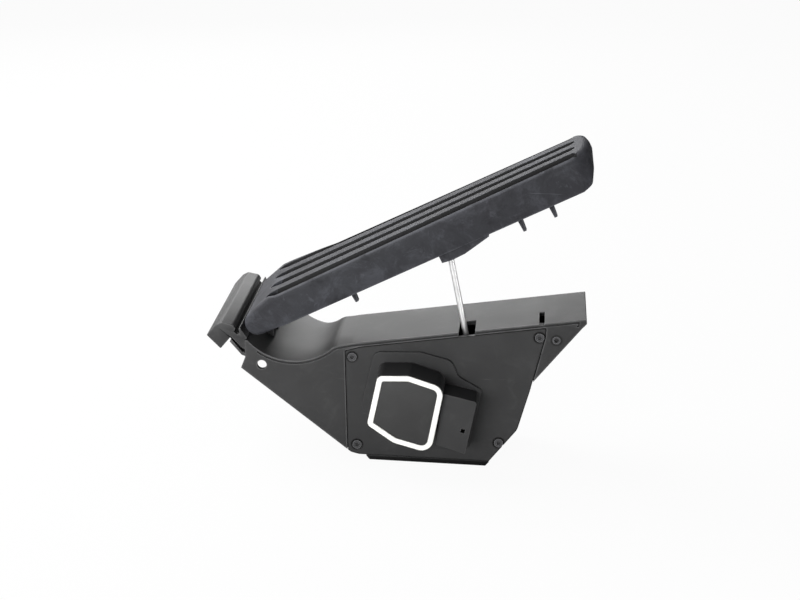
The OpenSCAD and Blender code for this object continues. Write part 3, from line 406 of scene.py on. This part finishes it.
# What moulded() gets for each moulded slot
MOULDED = {
    # The housing's strong paler edges are partly wear and partly painted highlight along its top lip
    "housing_plastic": dict(dark=(0.020, 0.020, 0.0205), pale=(0.027, 0.027, 0.0275),
                            rim=1.5 * MM, wear_and_highlight=0.9, finish=housing_finish),
    "cover_plastic": dict(dark=(0.021, 0.021, 0.0215), pale=(0.028, 0.028, 0.0285),
                          rim=0.9 * MM, wear_and_highlight=0.4, shade_reach=1.5 * MM, edge=0.9 * MM, finish=cover_finish),
    "cap_plastic": dict(dark=(0.023, 0.023, 0.023), pale=(0.029, 0.029, 0.029), rough=0.5, scuff=0.15),
    "foot_plastic": dict(dark=(0.003, 0.003, 0.0031), pale=(0.005, 0.005, 0.0052), scuff=0.05, specular=0.2),
    # The treadle's painted shade reaches far and is deep, darkening it wherever its own surfaces close in
    "pad_plastic": dict(dark=(0.019, 0.019, 0.023), pale=(0.027, 0.028, 0.033), rough=0.6, grain=0.06,
                        scuff=0.4, specular=0.22, rim=1.6 * MM, wear_and_highlight=0.6, shade_reach=12 * MM, shade_keeps=0.08,
                        finish=tread_finish),
    "dark_plastic": dict(dark=(0.020, 0.020, 0.021), pale=(0.028, 0.028, 0.029)),
    "pale_plastic": dict(dark=(0.45, 0.43, 0.36), pale=(0.55, 0.53, 0.45), scuff=0.1),
    "gasket_rubber": dict(dark=(0.008, 0.008, 0.008), pale=(0.014, 0.014, 0.014), rough=0.7),
    "chip_black": dict(dark=(0.008, 0.008, 0.008), pale=(0.012, 0.012, 0.012), rough=0.35),
    "board_green": dict(dark=(0.010, 0.055, 0.022), pale=(0.016, 0.08, 0.03), rough=0.3, scuff=0.05),
    "dark_steel": dict(dark=(0.022, 0.022, 0.023), pale=(0.034, 0.034, 0.036), rough=0.35,
                       rim=1.2 * MM, wear_and_highlight=1.0, shade_reach=2 * MM, shade_keeps=0.05),
}

# What metal() gets for each metal slot
METALS = {
    "bright_steel": dict(tone=(0.62, 0.63, 0.65), rough=0.25),
    "spring_steel": dict(tone=(0.30, 0.31, 0.33), rough=0.35),
    "magnet_metal": dict(tone=(0.16, 0.16, 0.17), rough=0.45, along=(300, 300, 300)),
    "rod_steel": dict(tone=(0.9, 0.9, 0.9), rough=0.34, along=(900, 900, 12), shine=0.7),
    "contact_brass": dict(tone=(0.75, 0.56, 0.26), rough=0.3),
    "bush_bronze": dict(tone=(0.55, 0.38, 0.18), rough=0.45, along=(300, 300, 300)),
}

materials = {slot: moulded(slot, **look) for slot, look in MOULDED.items()}
materials.update({slot: metal(slot, **look) for slot, look in METALS.items()})
materials["seal_white"] = sealant("seal_white")


def paint(obj, slot):
    obj.data.materials.clear()
    obj.data.materials.append(materials[slot])


# Copies that stand for CAD nodes

# Points closer than this are joined, faces flatter than this are merged, sharper edges are rounded
WELD = 1e-6
FLAT = math.radians(0.6)
SHARP = math.radians(28)


def add_object(name, data):
    obj = bpy.data.objects.new(name, data)
    bpy.context.scene.collection.objects.link(obj)
    return obj


def to_mesh(bm, name):
    mesh = bpy.data.meshes.new(name)
    bm.to_mesh(mesh)
    bm.free()
    return mesh


def cleaned(mesh):
    """The mesh with doubled points joined and flat faces merged."""
    bm = bmesh.new()
    bm.from_mesh(mesh)
    bmesh.ops.remove_doubles(bm, verts=bm.verts, dist=WELD)
    bmesh.ops.dissolve_limit(bm, angle_limit=FLAT, verts=bm.verts, edges=bm.edges)
    return bm


def apply_modifiers(piece):
    bpy.context.view_layer.update()
    graph = bpy.context.evaluated_depsgraph_get()
    mesh = bpy.data.meshes.new_from_object(piece.evaluated_get(graph))
    old = piece.data
    piece.modifiers.clear()
    piece.data = mesh
    bpy.data.meshes.remove(old)


def smooth_by_angle(piece, degrees):
    mesh = piece.data
    mesh.polygons.foreach_set("use_smooth", [True] * len(mesh.polygons))
    bm = bmesh.new()
    bm.from_mesh(mesh)
    limit = math.radians(degrees)
    for edge in bm.edges:
        edge.smooth = len(edge.link_faces) == 2 and edge.calc_face_angle(0) < limit
    bm.to_mesh(mesh)
    bm.free()


def stand_for(piece, node, smooth=32):
    """The piece takes the node's place, body and finish."""
    smooth_by_angle(piece, smooth)
    paint(piece, slot_of[node])
    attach(piece, body_of[node])
    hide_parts(node)


def rounded_copy(node, radius, source=None):
    """Stands for a CAD node: its solid, or another source for it, with its sharp edges rounded."""
    bm = cleaned(source or nodes[node].data)
    weights = bm.edges.layers.float.new("bevel_weight_edge")
    for edge in bm.edges:
        if len(edge.link_faces) == 2 and edge.calc_face_angle(0) > SHARP:
            edge[weights] = 1.0
    name = node + "_skin"
    piece = add_object(name, to_mesh(bm, name))
    bevel = piece.modifiers.new("round", "BEVEL")
    bevel.limit_method = "WEIGHT"
    bevel.width = radius
    bevel.segments = 3
    bevel.use_clamp_overlap = False
    bevel.miter_outer = "MITER_ARC"
    bevel.harden_normals = False
    apply_modifiers(piece)
    stand_for(piece, node, smooth=35)


# Treadle: the CAD solid cut to a rounded rim, with deeper, open-ended tread grooves

def pad_top(u):
    return PAD_TOP[0] + (PAD_TOP[1] - PAD_TOP[0]) * u / PAD_LENGTH


def pad_width(u):
    return PAD_WIDTH[0] + (PAD_WIDTH[1] - PAD_WIDTH[0]) * u / PAD_LENGTH


def from_pad(u, y, v):
    """The place in the row frame of a point given along the treadle, across it and square to it."""
    return (
        pivot.x + u * math.cos(PAD_TILT) - v * math.sin(PAD_TILT),
        y,
        pivot.z + u * math.sin(PAD_TILT) + v * math.cos(PAD_TILT),
    )


def arc(middle, radius, start, end, steps):
    """Points of an arc in a plane, from start to end in degrees."""
    turns = [math.radians(start + (end - start) * i / steps) for i in range(steps + 1)]
    return [(middle[0] + radius * math.cos(t), middle[1] + radius * math.sin(t)) for t in turns]


def quarter_round(radius, steps=8):
    """Pairs of (inset, sink) along a rounded edge, from its side to its top."""
    turns = [math.pi / 2 * k / steps for k in range(steps + 1)]
    return [(radius * (1 - math.cos(t)), radius * (1 - math.sin(t))) for t in turns]


def loft(name, rings):
    """A closed solid through rings of equally many points, its two ends filled."""
    mesh = bpy.data.meshes.new(name)
    count = len(rings[0])
    last = (len(rings) - 1) * count
    points = [p for ring in rings for p in ring]
    faces = [
        (k * count + i, k * count + (i + 1) % count, (k + 1) * count + (i + 1) % count, (k + 1) * count + i)
        for k in range(len(rings) - 1)
        for i in range(count)
    ]
    faces.append(tuple(range(count - 1, -1, -1)))
    faces.append(tuple(last + i for i in range(count)))
    mesh.from_pydata(points, [], faces)
    bm = bmesh.new()
    bm.from_mesh(mesh)
    bmesh.ops.recalc_face_normals(bm, faces=bm.faces)
    bm.to_mesh(mesh)
    bm.free()
    return add_object(name, mesh)


def plan_corners():
    """The treadle's outline from above, as (place, radius), running anticlockwise in u and y.

    The radius of a hollow corner is less than 0.
    """
    heel, toe, tip = -BEHIND_HINGE, PAD_LENGTH - TOE_BOW, PAD_LENGTH + TIP_PROUD
    first_bend, second_bend = FLARE_BEND
    half = {u: pad_width(u) / 2 for u in (heel, first_bend, second_bend, toe)}
    return [
        (Vector((heel, PAD_MIDDLE - half[heel])), 0.0),
        (Vector((toe, PAD_MIDDLE - half[toe])), TOE_CORNER),
        (Vector((tip, PAD_MIDDLE)), TOE_FRONT),
        (Vector((toe, PAD_MIDDLE + half[toe])), TOE_CORNER),
        (Vector((second_bend, PAD_MIDDLE + half[second_bend])), FLARE_RADII[1]),
        (Vector((first_bend, PAD_MIDDLE + half[first_bend] + FLARE)), FLARE_RADII[0]),
        (Vector((heel, PAD_MIDDLE + half[heel] + FLARE)), 0.0),
    ]


def moved_in(corners, inset):
    """The corners of an outline moved in by inset."""
    moved = []
    for i, (here, radius) in enumerate(corners):
        before, after = corners[i - 1][0], corners[(i + 1) % len(corners)][0]
        first, second = (here - before).normalized(), (after - here).normalized()
        normals = Vector((-first.y, first.x)), Vector((-second.y, second.x))
        inner = here + (normals[0] + normals[1]) * (inset / (1 + normals[0].dot(normals[1])))
        moved.append((inner, radius - inset if radius else 0.0))
    return moved


def rounded_outline(corners, steps=10):
    """Points of an outline, each corner turned into an arc of the same number of points."""
    points = []
    for i, (here, radius) in enumerate(corners):
        if not radius:
            points.append(here)
            continue
        first = (corners[i - 1][0] - here).normalized()
        second = (corners[(i + 1) % len(corners)][0] - here).normalized()
        half = math.acos(max(-1.0, min(1.0, first.dot(second)))) / 2
        middle = here + (first + second).normalized() * (abs(radius) / math.sin(half))
        start = here + first * (abs(radius) / math.tan(half)) - middle
        end = here + second * (abs(radius) / math.tan(half)) - middle
        for k in range(steps + 1):
            points.append(middle + start.lerp(end, k / steps).normalized() * abs(radius))
    return points


def plan_form():
    """The treadle seen from above: its top rim is rounded along the sides and round the toe."""
    form_height = 60 * MM
    rings = []
    for inset, sink in [(0.0, form_height)] + quarter_round(RIM):
        outline = rounded_outline(moved_in(plan_corners(), inset - PROUD))
        rings.append([from_pad(u, y, pad_top(u) + PROUD - sink) for u, y in outline])
    return loft("plan_form", rings)


def side_outline():
    """The nose, the crest and the top in u and v, closed round the rest of the solid."""
    past_toe, below, ahead_of_nose, under_nose = PAD_LENGTH + 30 * MM, -40 * MM, 20 * MM, -NOSE - 0.5 * MM
    nose = arc((0, 0), NOSE + PROUD, start=270, end=108, steps=24)
    crest = arc((CREST_AT, PAD_TOP[0] - CREST), CREST + PROUD, start=109, end=91, steps=6)
    toe = [(past_toe, pad_top(past_toe)), (past_toe, below)]
    return nose + crest + toe + [(ahead_of_nose, below), (ahead_of_nose, under_nose)]


def side_ring(outline, side, inset, sink):
    """A ring of the side form: the outline moved in, except for its low points ahead of the nose."""
    ring = []
    for i, (u, v) in enumerate(outline):
        before, after = outline[i - 1], outline[(i + 1) % len(outline)]
        along = Vector((after[0] - before[0], after[1] - before[1])).normalized()
        shift = 0.0 if u > NOSE + PROUD and v < 0 else inset
        u_in, v_in = u + along.y * shift, v - along.x * shift
        half = pad_width(u_in) / 2 + (FLARE if side > 0 else 0.0)
        ring.append(from_pad(u_in, PAD_MIDDLE + side * (half + PROUD - sink), v_in))
    return ring


def side_form():
    """The treadle seen from the side: its nose and heel ramp have rounded edges."""
    outline = side_outline()
    far = [side_ring(outline, 1, inset, sink) for inset, sink in quarter_round(SIDE_EDGE)]
    near = [side_ring(outline, -1, inset, sink) for inset, sink in quarter_round(SIDE_EDGE)]
    return loft("side_form", far[::-1] + near)


def groove_stations():
    """Places along the treadle at which a groove's section is drawn."""
    straight_end = GROOVE_END - GROOVE_ROUND
    taper = [GROOVE_START + (GROOVE_FULL - GROOVE_START) * k / 6 for k in range(6)]
    straight = [GROOVE_FULL + (straight_end - GROOVE_FULL) * k / 12 for k in range(13)]
    end = [GROOVE_END - GROOVE_ROUND * (1 - k / 6) for k in range(1, 7)]
    return taper + straight + end


def groove_ring(index, u):
    """The section of a groove at u: it narrows towards the heel and is round at the toe."""
    least_taper, least_width, least_depth = 0.15, 0.4, 0.15
    taper = max(least_taper, math.sqrt(min(1.0, (u - GROOVE_START) / (GROOVE_FULL - GROOVE_START))))
    past_straight = max(0.0, u - (GROOVE_END - GROOVE_ROUND)) / GROOVE_ROUND
    end = math.sqrt(max(0.0, 1 - past_straight**2)) if past_straight else 1.0
    pitch = pad_width(u) / GROOVE_PITCHES
    half = GROOVE_SHARE * pitch
    middle = PAD_MIDDLE + (index - (GROOVES - 1) / 2) * pitch
    section = GROOVE_HALF + [(-x, z) for x, z in reversed(GROOVE_HALF[:-1])]
    ring = []
    for x, z in section:
        aside = x * half * taper * max(least_width, end)
        rise = z * GROOVE_DEEP if z > 0 else z * GROOVE_DEEP * max(least_depth, end)
        ring.append(from_pad(u, middle + aside, pad_top(u) + rise))
    return ring


def groove_form(index):
    """One tread groove, as a solid to cut away."""
    return loft("groove_form", [groove_ring(index, u) for u in groove_stations()])


def cut(piece, form, operation):
    modifier = piece.modifiers.new(operation, "BOOLEAN")
    modifier.operation = operation
    modifier.object = form
    modifier.solver = "EXACT"
    apply_modifiers(piece)
    bpy.data.objects.remove(form)


def build_treadle():
    name = "treadle_skin"
    piece = add_object(name, to_mesh(cleaned(nodes["treadle"].data), name))
    cut(piece, plan_form(), "INTERSECT")
    cut(piece, side_form(), "INTERSECT")
    for index in range(GROOVES):
        cut(piece, groove_form(index), "DIFFERENCE")
    stand_for(piece, "treadle")


# Bead and springs

def narrowed_bead():
    """The white bead's mesh, its inner edge moved out to the cap's."""
    narrowing = 1.1 * MM
    bm = bmesh.new()
    bm.from_mesh(nodes["sensor_seal"].data)
    bmesh.ops.remove_doubles(bm, verts=bm.verts, dist=WELD)
    middle = sum((v.co for v in bm.verts), Vector()) / len(bm.verts)
    shifts = {}
    for vert in bm.verts:
        sides = [f.normal for f in vert.link_faces if abs(f.normal.y) < 0.5]
        walls = [n for n in sides if n.dot(middle - vert.co) > 0]
        if walls:
            normal = sum(walls, Vector()).normalized()
            shifts[vert] = normal * (-narrowing / max(0.5, normal.dot(walls[0])))
    for vert, shift in shifts.items():
        vert.co += shift
    return to_mesh(bm, "bead")


def build_spring(node):
    """A copy of a coil spring, with a mesh of its own."""
    piece = add_object(node + "_coil", nodes[node].data.copy())
    stand_for(piece, node)
    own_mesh(piece)


def dress_nodes():
    """Builds the copies, then paints the CAD nodes that stay."""
    build_treadle()
    build_spring("outer_spring")
    build_spring("inner_spring")
    rounded_copy("heel_bar", 0.35 * MM)
    rounded_copy("heel_strip", 0.2 * MM)
    rounded_copy("foot_plate", 0.3 * MM)
    rounded_copy("sensor_cap", 0.3 * MM)
    rounded_copy("lever", 0.3 * MM)
    rounded_copy("sensor_seal", 0.45 * MM, narrowed_bead())
    for name, obj in nodes.items():
        if not obj.hide_render:
            paint(obj, slot_of[name])
            smooth_by_angle(obj, 30)


# Camera at the photograph's angle, light and floor

CAMERA_AT = Vector((65.7, -1111.3, 530.9)) * MM
RIGHT = Vector((0.9959, 0.0888, 0.0192))
UP = Vector((-0.0488, 0.3446, 0.9376))
BACK = Vector((0.0766, -0.9346, 0.3475))


def add_camera():
    camera = bpy.data.cameras.new("camera")
    camera.sensor_width = 36
    camera.lens = 72
    camera.clip_start = 0.05
    camera.clip_end = 50
    obj = add_object("camera", camera)
    turn = Matrix((RIGHT, UP, BACK)).transposed().to_4x4()
    obj.matrix_world = Matrix.Translation(CAMERA_AT) @ turn
    bpy.context.scene.camera = obj


def add_area(name, at, aim, size, power):
    lamp = bpy.data.lights.new(name, "AREA")
    lamp.shape = "RECTANGLE"
    lamp.size = size[0]
    lamp.size_y = size[1]
    lamp.energy = power
    obj = add_object(name, lamp)
    obj.location = at
    obj.rotation_euler = (Vector(aim) - Vector(at)).to_track_quat("-Z", "Y").to_euler()
    obj.visible_camera = False


def add_lamps():
    add_area("top", (-0.95, 0.35, 1.1), (0, 0, 0.08), (1.0, 1.0), 34)
    add_area("front", (-0.7, -1.5, 0.35), (0, 0, 0.1), (1.0, 0.7), 24)
    add_area("toe", (1.2, -0.5, 0.12), (0.1, 0, 0.2), (0.6, 0.4), 5)
    add_area("back", (-0.42, 1.5, 0.62), (0, 0, 0.1), (1.0, 0.6), 7.5)


def mix_shaders(tree, factor, first, second, output):
    pick = tree.nodes.new("ShaderNodeMixShader")
    tree.links.new(factor, pick.inputs["Fac"])
    tree.links.new(first, pick.inputs[1])
    tree.links.new(second, pick.inputs[2])
    tree.links.new(pick.outputs["Shader"], output.inputs["Surface"])


def add_world():
    """A white background for the camera; the object is lit softly from above and from the heel's side."""
    world = bpy.data.worlds.new("studio")
    bpy.context.scene.world = world
    world.use_nodes = True
    tree = world.node_tree
    tree.nodes.clear()
    output = tree.nodes.new("ShaderNodeOutputWorld")
    direction = tree.nodes.new("ShaderNodeTexCoord").outputs["Generated"]
    x, _, z = split_xyz(tree, direction)
    light = tree.nodes.new("ShaderNodeBackground")
    light.inputs["Color"].default_value = (1, 1, 1, 1)
    heel_side = ramp(tree, x, -0.2, 0.6, 0.16, 0.02)
    above = ramp(tree, z, 0.0, 0.9, 0.06, 0.2)
    tree.links.new(calculate(tree, "ADD", heel_side, above), light.inputs["Strength"])
    white = tree.nodes.new("ShaderNodeBackground")
    white.inputs["Color"].default_value = (1, 1, 1, 1)
    white.inputs["Strength"].default_value = 1.0
    path = tree.nodes.new("ShaderNodeLightPath")
    seen = calculate(tree, "MAXIMUM", path.outputs["Is Camera Ray"], path.outputs["Is Transmission Ray"])
    mix_shaders(tree, seen, light.outputs["Background"], white.outputs["Background"], output)


def floor_paper():
    """Pale grey paper that the camera sees nearly white, so that it keeps a faint shadow."""
    material = bpy.data.materials.new("floor")
    material.use_nodes = True
    tree = material.node_tree
    tree.nodes.clear()
    output = tree.nodes.new("ShaderNodeOutputMaterial")
    paper = tree.nodes.new("ShaderNodeBsdfDiffuse")
    paper.inputs["Color"].default_value = (0.55, 0.55, 0.55, 1)
    glow = tree.nodes.new("ShaderNodeEmission")
    glow.inputs["Color"].default_value = (1, 1, 1, 1)
    glow.inputs["Strength"].default_value = 1.0
    path = tree.nodes.new("ShaderNodeLightPath")
    share = times(tree, path.outputs["Is Camera Ray"], 0.95)
    mix_shaders(tree, share, paper.outputs["BSDF"], glow.outputs["Emission"], output)
    return material


def add_floor():
    reach, below_foot = 6.0, 0.2 * MM
    corners = [(-reach, -reach), (reach, -reach), (reach, reach), (-reach, reach)]
    mesh = bpy.data.meshes.new("floor")
    mesh.from_pydata([(x, y, -below_foot) for x, y in corners], [], [(0, 1, 2, 3)])
    mesh.materials.append(floor_paper())
    floor = add_object("floor", mesh)


dress_nodes()
add_camera()
add_world()
add_floor()
add_lamps()

bpy.context.scene.view_settings.view_transform = "Standard"
